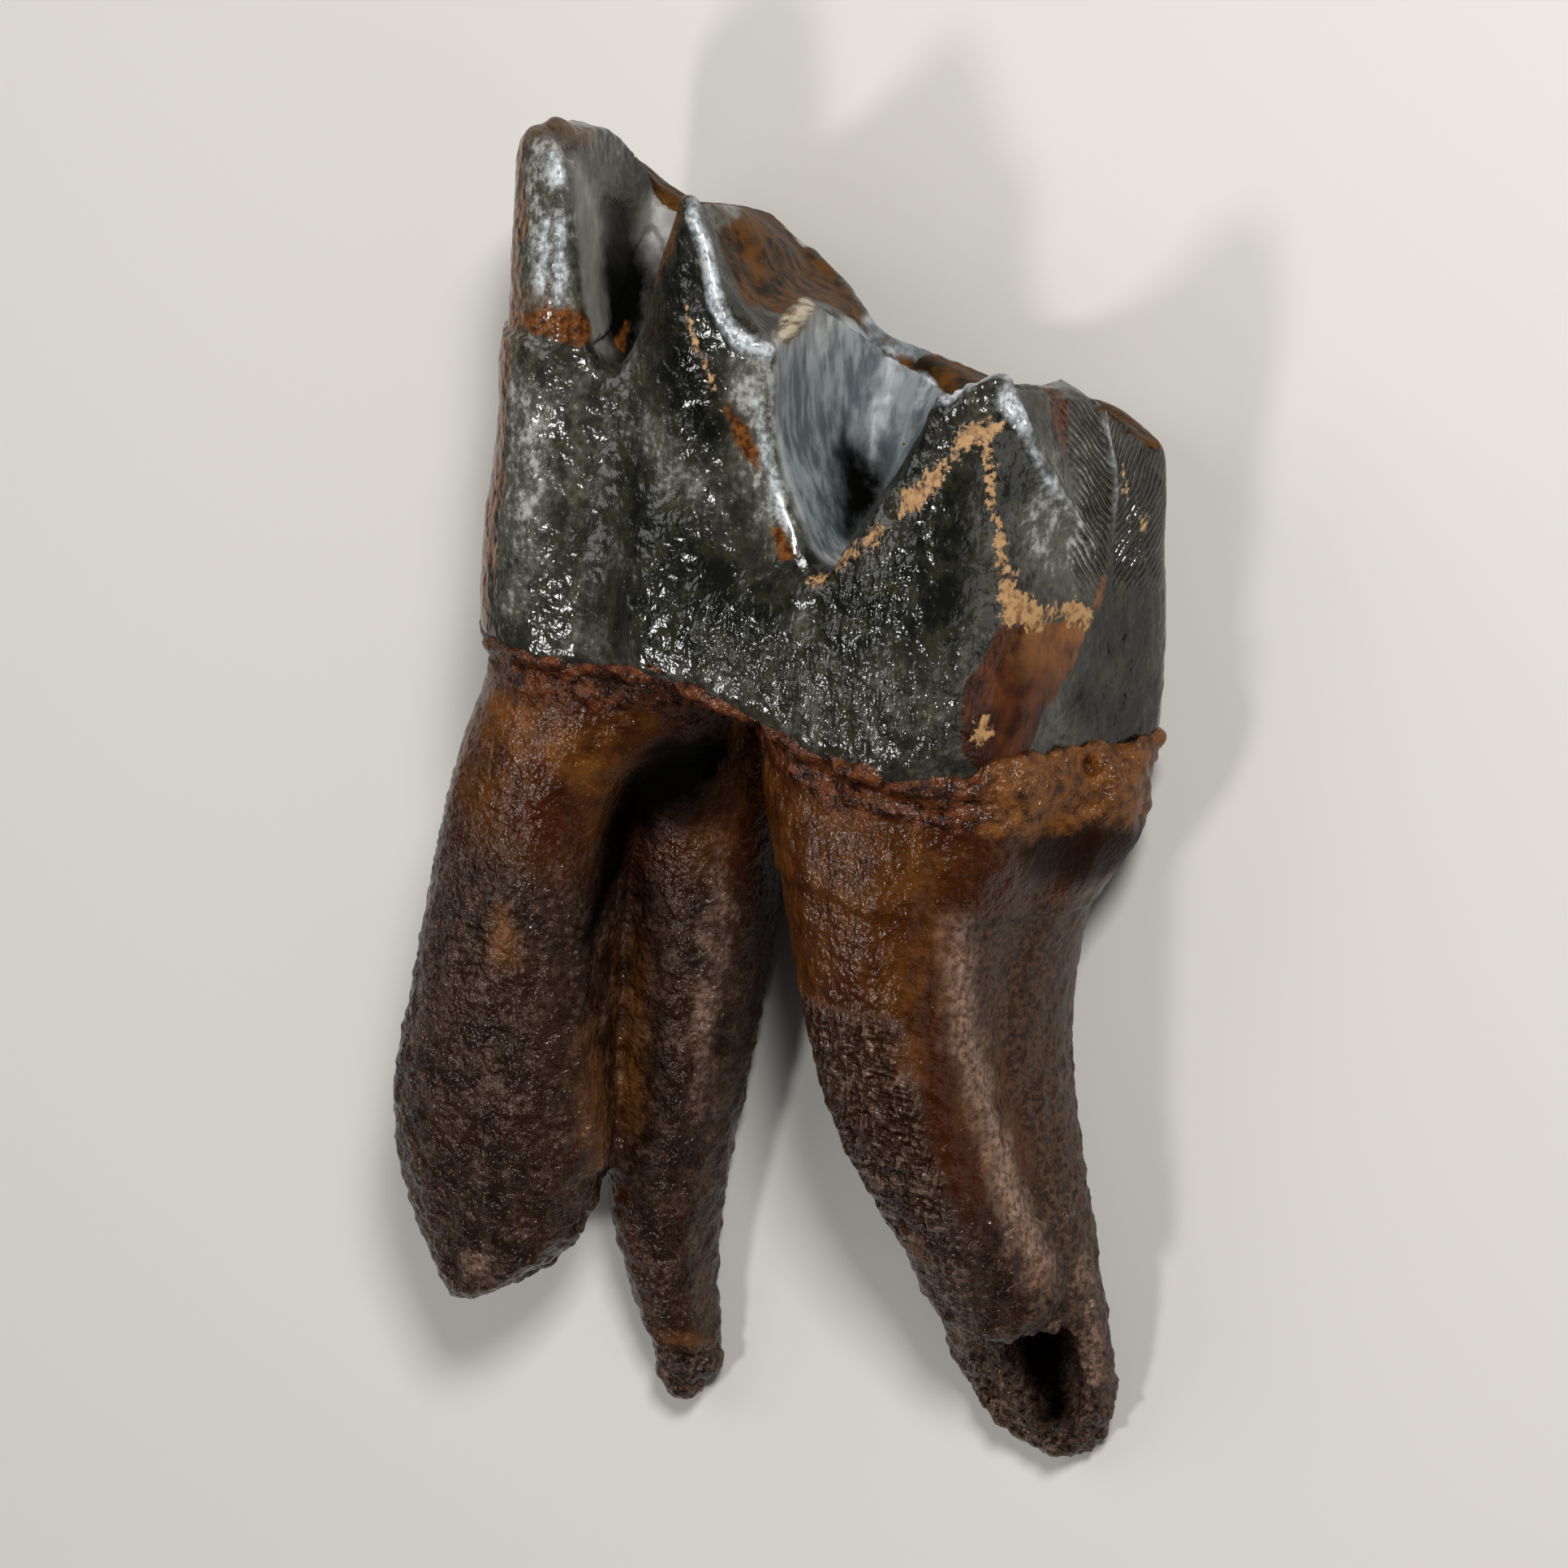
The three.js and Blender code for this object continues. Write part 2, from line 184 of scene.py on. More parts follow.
def push(piece, amount):
    """Moves every vertex out along its normal, in millimetres."""
    put(piece, places(piece) + normals(piece) * np.asarray(amount)[:, None])


def thin_to(piece, triangles):
    """Leaves a skin this many triangles, the small ones where it is rough."""
    piece.data.calc_loop_triangles()
    modify(piece, "DECIMATE", ratio=triangles / len(piece.data.loop_triangles))
    only(piece)
    bpy.ops.object.shade_smooth()


def mark(piece, name, values):
    """Keeps a value from 0 to 1 at every vertex for the piece's material to read."""
    layer = piece.data.attributes.new(name, "FLOAT", "POINT")
    layer.data.foreach_set("value", np.clip(values, 0, 1).astype(np.float32))


MARK_REACH = 8  # millimetres from 0 to 1 in a mark that tells how deep inside its patch a place is


def mark_patch(piece, name, depth):
    """Marks a patch: a half at its edge, more inside, less outside."""
    mark(piece, name, 0.5 + depth / MARK_REACH)


# Lines and patches on the crown, as places on the tooth with half the width there.
METACONID_RIDGE = [(12.3, 39.4, 25.2, 0.2), (13.6, 38.6, 26.2, 0.4), (14.9, 37, 26, 0.45),
                   (16.2, 34.4, 26.5, 0.5), (17, 32.6, 26.7, 0.45), (18.8, 30.9, 26.4, 0.6),
                   (21.2, 30.2, 25.4, 0.5)]
FRONT_LIP = [(-1.4, 41.5, 24, 0), (0.9, 38.7, 24.6, 0), (2.0, 35, 24.6, 0), (3.2, 30.5, 24.4, 0),
             (4.7, 27.2, 24, 0)]
BACK_LIP_FRONT = [(21.4, 29.4, 25, 0), (21.6, 26.4, 25.2, 0), (22.8, 22, 25.2, 0), (25.2, 18, 25, 0),
                  (27.4, 15.3, 25, 0)]
BACK_LIP_BACK = [(27.4, 15.3, 25, 0), (30, 18.2, 25.4, 0), (33, 23.1, 25.4, 0), (35.2, 27.6, 25.2, 0),
                 (36.6, 29.8, 25, 0)]
ENTOCONID_CREST = [(34.8, 29.4, 25, 0.3), (36.8, 30, 25.2, 0.5), (38.6, 31.4, 24.8, 0.4),
                   (40.2, 32.3, 23.8, 0.4)]
BACK_RIDGE = [(42, 30.2, 23.6, 0), (43, 28, 22.9, 0.15), (44.4, 25.4, 21.4, 0.2), (45.4, 22.4, 18.9, 0.1),
              (46.1, 19.7, 15.9, -0.2)]
BACK_WEDGE = [(42.2, 31, 18.4, 1.3), (43.2, 28.6, 18.6, 0.8), (44.4, 25.4, 18.5, 0.2)]
FEATHER_STEM = [(43, 30, 13.6, -0.1), (44.4, 27.4, 13.6, 0), (45.7, 24.6, 13.6, 0), (46.4, 21, 13.6, -0.2)]
BASIN = [(13.8, 37, 20.6, 0.6), (15.2, 35, 19.4, 1.7), (17.2, 33.7, 20.4, 1.9), (16.4, 34, 15, 1.2),
         (15.2, 33.3, 9.6, 0.8)]
BASIN_RIM = [(20.6, 30.8, 22.8, 0.7), (20.1, 32, 20, 1.0), (18.6, 32.6, 16.2, 0.7)]
CONTACT_FACET = [(45, 13, 20, 4), (44.6, 11.2, 21.2, 4), (44.1, 8.8, 22.4, 3.7), (43.9, 6.6, 22.8, 3.4),
                 (43.9, 5, 22.6, 3)]
FRONT_VALLEY = {"x": (-1.2, 2.2, 12.4, 11.2), "z": (25.4, 22.4), "y": (24, 28)}
BACK_VALLEY = {"x": (19, 21.6, 38, 36), "z": (25.8, 23), "y": (13, 16.5)}
PARACONID_TIP = (-2.4, 42.8, 22.2)
PARACONID_TIP_WIDE = 1.9
PARACONID_TIP_UP = 1.15
PILLAR_STEP_Y = 26.2
CROWN_VOXEL = 0.26
MOST_TRIANGLES = 196000


def valley_depth(points, valley):
    """1 on the walls of a valley, falling to 0 over the lips round it."""
    x, y, z = points.T
    across = rise(x, valley["x"][0], valley["x"][1]) * rise(x, valley["x"][2], valley["x"][3])
    return across * rise(z, *valley["z"]) * rise(y, *valley["y"])


# The lips of the valleys and the contact facet are rubbed round, and the valleys' walls are polished.
crown = skin_over("crown", fused_halves("trigonid", "talonid"), CROWN_VOXEL)
at = places(crown)
lips = 1.4 * bead(at, FRONT_LIP, 2.8) + 1.2 * bead(at, BACK_LIP_FRONT, 2.4)
lips += 0.8 * bead(at, BACK_LIP_BACK, 1.8)
smooth(crown, 160, lips * rise(at[:, 1], 43, 40))
smooth(crown, 260, 1.6 * bead(at, CONTACT_FACET, 4.4))
at = places(crown)
smooth(crown, 260, valley_depth(at, FRONT_VALLEY) + valley_depth(at, BACK_VALLEY))
at = places(crown)
near_tip = np.exp(-((np.linalg.norm(at - PARACONID_TIP, axis=1) / PARACONID_TIP_WIDE) ** 2))
put(crown, at + np.outer(near_tip, (0, PARACONID_TIP_UP, 0)))

at = places(crown)
out = normals(crown)
x, y, z = at.T
lingual = rise(out[:, 2], 0.3, 0.8) * rise(z, 21, 23.5)
metaconid_ridge, entoconid_crest, back_ridge, feather_stem = laid_on(
    at, [METACONID_RIDGE, ENTOCONID_CREST, BACK_RIDGE, FEATHER_STEM])


def from_rim(points, facing):
    """How far a place on a ground-down top is from the walls round it, in millimetres, and 0 off the tops."""
    walls = np.flatnonzero((facing[:, 1] < 0.2) & (points[:, 1] > 12))
    tree = kdtree.KDTree(len(walls))
    for i, place in enumerate(points[walls].tolist()):
        tree.insert(place, i)
    tree.balance()
    far = np.zeros(len(points))
    for i in np.flatnonzero((facing[:, 1] > 0.45) & (points[:, 1] > 22)):
        far[i] = tree.find(points[i])[2]
    return far


# Enamel stands up along the worn edges, and the dentine between the edges is hollowed out.
push(crown, -0.55 * rise(from_rim(at, out), 1.2, 2.6))
push(crown, -0.8 * bead(at, BASIN, 2.0))

# Ridges of enamel along the crests, a groove under the back ridge, and the step across the pillar.
push(crown, 0.55 * bead(at, metaconid_ridge, 0.75) + 0.3 * bead(at, BASIN_RIM, 0.9))
push(crown, 0.4 * bead(at, entoconid_crest, 0.8) + 0.6 * bead(at, back_ridge, 0.6))
push(crown, -0.45 * bead(at, BACK_WEDGE, 1.1) + 0.3 * bead(at, feather_stem, 0.4))
step = rise(y + 0.35 * lumps(at, 1.4, 5, 2), PILLAR_STEP_Y + 0.2, PILLAR_STEP_Y - 0.2)
push(crown, 0.4 * step * rise(y, 17, 24) * rise(x, 6, 4) * rise(z, 18, 21))

# The lingual wall bulges between soft furrows, and is wrinkled, most of all low down.
WRINKLED = [[(29, 15.5, 26.4, 1.5), (33, 15.5, 26.6, 3), (31, 11, 27, 1)],
            [(21, 8, 27.4, 2), (30, 6, 27.2, 3), (39, 6.5, 26, 3), (41, 12, 25.4, 0.5)]]
wrinkled = 0.2 * lingual + 0.8 * rise(depth_in(at, *WRINKLED), -2.5, 1)
calm = 1 - np.clip(bead(at, CONTACT_FACET, 4) + bead(at, BACK_LIP_FRONT, 1.6), 0, 1)
push(crown, lingual * 0.3 * lumps(at, (5, 9, 5), 1))
push(crown, calm * 0.09 * lumps(at, 2.2, 2, 2))
push(crown, calm * wrinkled * 0.28 * lumps(at, (0.9, 2.4, 0.9), 3))
push(crown, calm * (0.3 + 0.7 * wrinkled) * 0.15 * lumps(at, 0.85, 4))
chipped = [(36.6, 29.6, 25.4, 0.6), (39, 30.6, 25, 1), (41, 30, 24.2, 1), (42, 28.6, 23, 0.4)]
push(crown, 0.45 * rise(depth_in(at, chipped), -0.5, 0.5) * lumps(at, 0.9, 6, 2))
thin_to(crown, MOST_TRIANGLES)

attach(crown, "root")
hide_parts("trigonid", "talonid")

# What shows where on the enamel: lighter and darker tone, white enamel and painted highlights,
# painted shade in the pits, and the cement and orange sediment left in the grooves.
LIGHT = [[(-0.6, 40, 25.4, 2), (0.6, 35, 25.8, 2.2), (1, 30, 25.8, 2.2)],
         [(-1.6, 24.5, 25, 0.4), (0.6, 20, 25.8, 1.8), (1.4, 13, 26.2, 1.8), (1.6, 6.5, 26.6, 1)],
         [(20.8, 29.6, 26, 1.4), (20.8, 26.6, 26.2, 2), (22.4, 21.6, 26, 1.8), (24.4, 18, 26, 0.9)],
         [(42.2, 27.6, 22.6, 0.6), (43.8, 24, 21, 1.8), (44.8, 20, 19, 2.2)],
         [(12.6, 22, 26.6, 1), (16.6, 19, 27.2, 1)],
         [(12.6, 38, 19, 0.8), (12.6, 36.6, 12, 1.2), (12, 36, 6, 1)],
         [(20.5, 31, 17, 0.4), (21, 28.6, 20, 0.8)]]
DARK = [[(12, 36, 26, 1.2), (13.6, 31, 26.8, 2.2), (15, 27, 27, 2.4), (17.2, 24, 27, 1.6)],
        [(11, 18, 27, 1), (17, 12.5, 27.6, 2), (24, 11.5, 27.4, 1.6)],
        [(29, 14, 26.4, 0.8), (33, 12, 27, 2), (38, 15, 26.4, 2.2), (38, 23, 26.4, 1.4)],
        [(29.4, 17.6, 25.2, 0.8), (33.4, 22.8, 25.4, 1), (36.4, 28.4, 25.2, 0.6)],
        [(42.4, 29.4, 22.6, 0.2), (42.2, 24, 24, 0.2)],
        [(46.4, 25.6, 9.6, 0.9), (47.6, 17, 11.5, 1.6), (48, 10, 12.6, 3.5), (49, 5, 10, 2.5)],
        [(14, 38.2, 24.2, 0.3), (15.4, 36, 24, 0.5), (17, 33.6, 24.4, 0.5), (19, 31.9, 24, 0.5)],
        [(17.4, 36, 14, 1), (16, 37, 9, 1.2)],
        [(12.8, 8, 27.6, 1.2), (17.5, 7.4, 27.8, 0.8)]]
WHITE_AND_HIGHLIGHTS = [metaconid_ridge, entoconid_crest, back_ridge, feather_stem,
         [(41.4, 31, 24.6, 0.9), (42.4, 29.2, 23.8, 0.6)],
         # Painted highlights: the streaks down the pillar and the glints at its tip.
         [(0, 35.6, 25.8, 0.25), (0.5, 31, 25.9, 0.35), (1.9, 27.4, 25.7, 0.25)],
         [(1.4, 36.2, 25.4, 0.2), (2.1, 29.8, 25.2, 0.3)],
         [(-0.4, 40.8, 25, 0.4), (0.6, 39.2, 25.2, 0.5)],
         [(20.9, 27, 26, 0.1), (22, 23.6, 25.9, 0.2), (23.6, 20, 25.7, 0.3), (24.9, 17, 25.6, 0.1)],
         # A painted highlight on the back valley's wall.
         [(27.3, 27.6, 10.2, 0.7), (26.9, 25.6, 11.2, 0.1)]]
# Painted shade: near-black laid in the valley pits and in small holes in the enamel.
PIT_SHADES = [[(1.4, 34.4, 15, 2.8), (2.4, 31, 15.6, 4.4), (4, 27.8, 17.6, 3.4)],
        [(9.8, 35, 20, 2.2), (8.6, 30.6, 20.4, 2.8), (6.4, 28.4, 20, 2.4)],
        [(23, 23, 15, 0.8), (24, 20.8, 14.8, 2.4), (25.2, 18.4, 14.8, 2.8), (25.6, 16.2, 17.6, 1.5)],
        [(14.6, 28.4, 26.8, 0.7), (15.2, 27, 26.9, 0.8)],
        [(16.6, 24.8, 26.9, 0.6), (18, 24, 26.9, 0.9)],
        [(15.6, 21.2, 27, 0.4), (16.2, 20.6, 27, 0.4)],
        [(26.4, 14.9, 26, 0.5), (27.4, 15.2, 25, 0.4)],
        [(46.8, 7.8, 15.9, 0.5), (47, 7, 15.4, 0.6)]]
CEMENT = [[(38.2, 26.9, 26.2, 0.35), (39.4, 28, 25.8, 0.65), (40.9, 29.1, 24.9, 0.45)],
          [(37.8, 25.6, 26.4, 0.1), (36.9, 24, 26.6, 0.55), (35.9, 22.4, 26.6, 0.8), (34.4, 20.8, 26.6, 0.1)],
          [(33.8, 20.2, 26.6, 0.15), (32.4, 18.6, 26.5, 0.65), (30.6, 16.6, 26.3, 0.4), (28, 14, 26.1, 0.15)],
          [(40.4, 26.6, 25.2, 0.45), (41.2, 23.8, 24.6, 0.15), (42, 21, 24.2, 0.1), (42.4, 18.8, 23.8, 0.25),
           (43, 16.6, 23.4, 0.8), (43.6, 15, 22.6, 1.3), (44.6, 14.6, 20.6, 0.6)],
          [(44.6, 14.8, 20.4, 0.5), (45.4, 14.9, 18.6, 0.4), (46.2, 14.8, 16.8, 0.8), (46.6, 14, 15.4, 0.4)],
          [(13.9, 32.6, 26.8, -0.25), (15.2, 30, 26.9, -0.1), (17.8, 26.4, 26.8, -0.1)],
          [(45.8, 25.6, 12.4, 0.1), (46.3, 23.6, 12.4, 0.15)],
          [(47, 21, 10.4, 0.2), (47.1, 20.6, 10.4, 0.2)],
          [(42.9, 6.4, 24.2, 0.5), (43, 5.4, 24.2, 0.55)]]
ORANGE = [[(-3.4, 27.8, 23.4, 0.8), (-1, 27.6, 25.2, 0.7), (1.6, 28.1, 25.5, 1.2), (3.8, 28.1, 24.8, 1.3)],
          [(1.1, 29, 25.7, 0.4), (0.9, 31.4, 25.8, 0.1)],
          [(3.6, 28, 16.4, 0.3), (4.6, 26.6, 18.8, 0.6)],
          [(12.2, 39.2, 25.8, 0.3), (11.2, 36.5, 25.2, 1.1), (9.9, 33.2, 24.2, 0.9), (9.1, 30.6, 23.8, 0.3)],
          [(18.8, 25.4, 26.6, 0.2), (20, 24.2, 26.5, 0.6), (21.4, 22.5, 26.3, 0.6), (22, 21.4, 26.2, 0.1)],
          [(24.5, 16.9, 26.3, 0.45), (25.3, 15.7, 26.2, 0.55)],
          [(46.4, 18.4, 13.6, 0.2), (46.3, 14.8, 14.6, 0.4)]]
at = places(crown)
out = normals(crown)
x, y, z = at.T
mark_patch(crown, "white_and_highlight", depth_in(at, *laid_on(at, WHITE_AND_HIGHLIGHTS)))
mark_patch(crown, "pit_shade", depth_in(at, *PIT_SHADES))
mark_patch(crown, "cement", depth_in(at, *laid_on(at, CEMENT)))
mesial_face = 5 * (-0.5 - out[:, 0]) - rise(x, 2, 8) * MARK_REACH
mark_patch(crown, "orange", np.maximum(depth_in(at, *laid_on(at, ORANGE)), mesial_face))
inside_rim = from_rim(at, out) - 1.5 - 2 * rise(z, 8, 13)
mark_patch(crown, "dentine", np.maximum(inside_rim, depth_in(at, BASIN) + 0.6))
mark_patch(crown, "contact", np.minimum(depth_in(at, CONTACT_FACET), 14.2 - y))
mark(crown, "facet_top", rise(y, 8, 13.5) * rise(z, 25, 20))
mark_patch(crown, "basin_rim", depth_in(at, BASIN_RIM))
tone = 0.45 + 0.3 * rise(depth_in(at, *LIGHT), -2.5, 1) - 0.36 * rise(depth_in(at, *DARK), -3, 1)
mark(crown, "tone", tone)
mark(crown, "front_valley", valley_depth(at, FRONT_VALLEY))
mark(crown, "back_valley", valley_depth(at, BACK_VALLEY))
mark(crown, "wrinkled", rise(depth_in(at, *WRINKLED), -2.5, 1))
calm = bead(at, CONTACT_FACET, 2) + bead(at, BACK_LIP_FRONT, 2)
mark(crown, "calm", calm + valley_depth(at, FRONT_VALLEY) + valley_depth(at, BACK_VALLEY))
brown_foot = [(-3.6, 29.6, 22.8, 1.6), (-1, 29.2, 25.2, 0.8), (2.6, 28.8, 25.4, 0.8)]
brown_tip = [(-3.4, 42.4, 22.4, 1.8), (-0.4, 43, 20, 1.8)]
mark_patch(crown, "brown", depth_in(at, brown_foot, brown_tip))
mark_patch(crown, "wedge", depth_in(at, BACK_WEDGE))

# Fine ribs fan out from both sides of the stem on the back face, as the barbs of a feather do.
# They are drawn a little coarser than the real ones, which would be too fine to show.
RIB_GAP = 0.72
RIB_SLOPE = 1.1
STEM_END = (47.8, 10, 13.6, 0)
off_stem = -depth_in(at, [(*place[:3], 0) for place in [*feather_stem, STEM_END]])
along = y - RIB_SLOPE * off_stem + 0.3 * lumps(at, 1.6, 7)
phase = crown.data.attributes.new("rib_phase", "FLOAT", "POINT")
phase.data.foreach_set("value", (2 * np.pi * along / RIB_GAP).astype(np.float32))
back_face = rise(x, 42.2, 43.2) * rise(out[:, 0], 0.4, 0.7) * rise(z, 18.5, 17)
mark(crown, "ribbed", back_face * rise(y, 15, 19) * rise(off_stem, 0.2, 0.6))


def linear(code):
    """An sRGB hex colour as linear light, with full alpha."""
    channels = [int(code[i : i + 2], 16) / 255 for i in (1, 3, 5)]
    return (*(c / 12.92 if c <= 0.04045 else ((c + 0.055) / 1.055) ** 2.4 for c in channels), 1.0)


def node(tree, kind, inputs, **settings):
    """Adds a shader node with its settings and its inputs, each a value or the output of another node."""
    made = tree.nodes.new("ShaderNode" + kind)
    for name, value in settings.items():
        setattr(made, name, value)
    for key, value in inputs.items():
        if isinstance(value, bpy.types.NodeSocket):
            tree.links.new(value, made.inputs[key])
        else:
            made.inputs[key].default_value = value
    return made


def material(name):
    made = bpy.data.materials.new(name)
    made.use_nodes = True
    made.node_tree.nodes.clear()
    return made, made.node_tree


def worked_out(tree, operation, *values):
    return node(tree, "Math", dict(enumerate(values)), operation=operation).outputs[0]


def marked(tree, name):
    return node(tree, "Attribute", {}, attribute_name=name).outputs["Fac"]


def grain(tree, size, detail=2.0, roughness=0.5, distortion=0.0):
    """Noise from 0 to 1 whose lumps have this size in millimetres along each axis."""
    spot = node(tree, "TexCoord", {}).outputs["Object"]
    scale = [1 / (length * MM) for length in size]
    scaled = node(tree, "Mapping", {"Vector": spot, "Scale": scale}).outputs["Vector"]
    inputs = {"Vector": scaled, "Scale": 1.0, "Detail": detail, "Roughness": roughness,
              "Distortion": distortion}
    return node(tree, "TexNoise", inputs).outputs["Fac"]


def between(tree, value, low, high):
    """0 where the value is under low, 1 over high."""
    inputs = {"Value": value, "From Min": low, "From Max": high}
    return node(tree, "MapRange", inputs, interpolation_type="SMOOTHSTEP").outputs["Result"]


def mixed(tree, amount, under, over):
    """One colour laid over another by an amount."""
    return node(tree, "Mix", {0: amount, 6: under, 7: over}, data_type="RGBA").outputs[2]


def patch(tree, name, ragged, reach, soft):
    """1 inside a marked patch.  A noise moves its edge by about this reach in millimetres."""
    moved = worked_out(tree, "MULTIPLY_ADD", ragged, 2 * reach / MARK_REACH, marked(tree, name))
    edge = 0.5 + reach / MARK_REACH
    return between(tree, moved, edge - soft / MARK_REACH, edge + soft / MARK_REACH)


# Fossil enamel, stained grey-green to black by minerals and worn smooth in the valleys: glassy, with
# fine wrinkles that glint where the light catches them.
enamel, tree = material("mineral_stained_enamel")
fine = grain(tree, (0.5, 0.6, 0.5), 3, 0.6)
middle = grain(tree, (1.6, 2.2, 1.6), 5, 0.62)
broad = grain(tree, (6, 9, 6), 3)
tone = marked(tree, "tone")
for clouds, share in ((middle, 1.1), (broad, 0.5), (fine, 0.75)):
    tone = worked_out(tree, "MULTIPLY_ADD", worked_out(tree, "SUBTRACT", clouds, 0.5), share, tone)
ribs = worked_out(tree, "SINE", marked(tree, "rib_phase"))
ribs = worked_out(tree, "MULTIPLY", ribs, marked(tree, "ribbed"))
tone = worked_out(tree, "MULTIPLY_ADD", ribs, 0.22, tone)
colour = mixed(tree, between(tree, tone, 0.0, 0.42), linear("#070805"), linear("#201f19"))
colour = mixed(tree, between(tree, tone, 0.38, 0.7), colour, linear("#403f38"))
colour = mixed(tree, between(tree, tone, 0.66, 1.0), colour, linear("#8e8e88"))
olive = between(tree, grain(tree, (2, 2.6, 2), 4), 0.5, 0.66)
colour = mixed(tree, worked_out(tree, "MULTIPLY", olive, 0.25), colour, linear("#3a3a24"))

in_front_valley = marked(tree, "front_valley")
front_valley = worked_out(tree, "MULTIPLY_ADD", middle, 0.5, in_front_valley)
front_valley = between(tree, front_valley, 0.45, 1.05)
cloudy = mixed(tree, between(tree, broad, 0.4, 0.62), linear("#6b6963"), linear("#979590"))
colour = mixed(tree, front_valley, colour, cloudy)
in_back_valley = marked(tree, "back_valley")
back_valley = worked_out(tree, "MULTIPLY_ADD", middle, 0.5, in_back_valley)
back_valley = between(tree, back_valley, 0.45, 1.05)
veins = grain(tree, (1.2, 9, 1.2), 4, 0.6)
blue_grey = mixed(tree, between(tree, veins, 0.36, 0.64), linear("#40474a"), linear("#74797b"))
lip_grey = mixed(tree, between(tree, veins, 0.36, 0.64), linear("#6c6f6f"), linear("#9b9d9b"))
blue_grey = mixed(tree, between(tree, in_back_valley, 0.5, 1.0), lip_grey, blue_grey)
colour = mixed(tree, back_valley, colour, blue_grey)
# White enamel on the crests, and painted highlights on the pillar and the back valley's wall.
white_and_highlight = patch(tree, "white_and_highlight", middle, 0.7, 0.5)
white_and_highlight_tone = mixed(tree, between(tree, fine, 0.35, 0.6), linear("#6e7274"), linear("#b2b7ba"))
colour = mixed(tree, white_and_highlight, colour, white_and_highlight_tone)
rim_lines = between(tree, grain(tree, (0.6, 0.6, 3), 3), 0.4, 0.6)
rim_tone = mixed(tree, rim_lines, linear("#4b3d28"), linear("#9c8f78"))
colour = mixed(tree, patch(tree, "basin_rim", middle, 0.6, 0.3), colour, rim_tone)
# Painted shade: the pits are laid near-black.
pit_shade = patch(tree, "pit_shade", middle, 1.6, 2.0)
colour = mixed(tree, pit_shade, colour, linear("#030302"))

dentine = patch(tree, "dentine", middle, 0.8, 0.3)
dentine_tone = mixed(tree, between(tree, middle, 0.36, 0.64), linear("#150d03"), linear("#4e2f09"))
colour = mixed(tree, dentine, colour, dentine_tone)
brown = patch(tree, "brown", middle, 1.2, 1.4)
colour = mixed(tree, worked_out(tree, "MULTIPLY", brown, 0.75), colour, linear("#4c3117"))
orange = patch(tree, "orange", middle, 0.9, 0.25)
orange_tone = mixed(tree, between(tree, fine, 0.32, 0.66), linear("#2c1404"), linear("#643a16"))
colour = mixed(tree, orange, colour, orange_tone)
wedge = patch(tree, "wedge", middle, 0.6, 0.3)
wedge_tone = mixed(tree, between(tree, fine, 0.3, 0.7), linear("#1f0d04"), linear("#4f270b"))
colour = mixed(tree, wedge, colour, wedge_tone)
contact = patch(tree, "contact", middle, 1.0, 0.12)
facet_clouds = between(tree, grain(tree, (1.6, 2.6, 1.6), 4), 0.36, 0.66)
contact_tone = mixed(tree, facet_clouds, linear("#240c03"), linear("#47230c"))
facet_top = worked_out(tree, "MULTIPLY", marked(tree, "facet_top"), between(tree, middle, 0.3, 0.6))
contact_tone = mixed(tree, facet_top, contact_tone, linear("#6f4318"))
colour = mixed(tree, contact, colour, contact_tone)
cement_rim = patch(tree, "cement", middle, 1.4, 0.5)
colour = mixed(tree, worked_out(tree, "MULTIPLY", cement_rim, 0.5), colour, linear("#2a1a0b"))
crumbs = worked_out(tree, "MULTIPLY_ADD", fine, 0.5, worked_out(tree, "MULTIPLY", middle, 0.5))
cement = patch(tree, "cement", crumbs, 2.4, 0.22)
cement_tone = mixed(tree, between(tree, fine, 0.3, 0.62), linear("#5a3a1b"), linear("#99754a"))
colour = mixed(tree, cement, colour, cement_tone)

wrinkles = grain(tree, (0.7, 2.2, 0.7), 2, 0.45, 0.5)
cells = grain(tree, (0.75, 0.85, 0.75), 2, 0.45)
wrinkled = marked(tree, "wrinkled")
cell_depth = worked_out(tree, "MULTIPLY_ADD", wrinkled, 0.19, 0.16)
wrinkle_depth = worked_out(tree, "MULTIPLY_ADD", wrinkled, 0.28, 0.08)
height = worked_out(tree, "MULTIPLY", cells, cell_depth)
height = worked_out(tree, "MULTIPLY_ADD", wrinkles, wrinkle_depth, height)
lively = worked_out(tree, "MULTIPLY_ADD", marked(tree, "calm"), -0.92, 1.0)
height = worked_out(tree, "MULTIPLY", height, lively)
height = worked_out(tree, "MULTIPLY_ADD", ribs, 0.08, height)
height = worked_out(tree, "MULTIPLY_ADD", cement, 0.05, height)
bump = node(tree, "Bump", {"Strength": 1.0, "Distance": MM, "Height": height})
matt = worked_out(tree, "MAXIMUM", cement, in_front_valley)
for place, share in ((contact, 0.12), (dentine, 0.9), (in_back_valley, 0.6)):
    matt = worked_out(tree, "MAXIMUM", matt, worked_out(tree, "MULTIPLY", place, share))
rough = worked_out(tree, "MULTIPLY_ADD", matt, 0.4, 0.18)
dull = pit_shade
for place, share in ((dentine, 0.9), (contact, 0.45)):
    dull = worked_out(tree, "MAXIMUM", dull, worked_out(tree, "MULTIPLY", place, share))
shine = mixed(tree, dull, linear("#ffffff"), linear("#000000"))
surface = node(tree, "BsdfPrincipled", {"Base Color": colour, "Roughness": rough, "IOR": 1.5,
                                        "Specular Tint": shine, "Normal": bump.outputs["Normal"]})
node(tree, "OutputMaterial", {"Surface": surface.outputs["BSDF"]})
crown.data.materials.append(enamel)

# ---- roots ---------------------------------------------------------------------------------------
# Two roots of dentine under a thin coat of cement, each of two lobes joined by a web.  They and the
# crust that grew round the neck are one skin, which ends in old breaks at the tips.

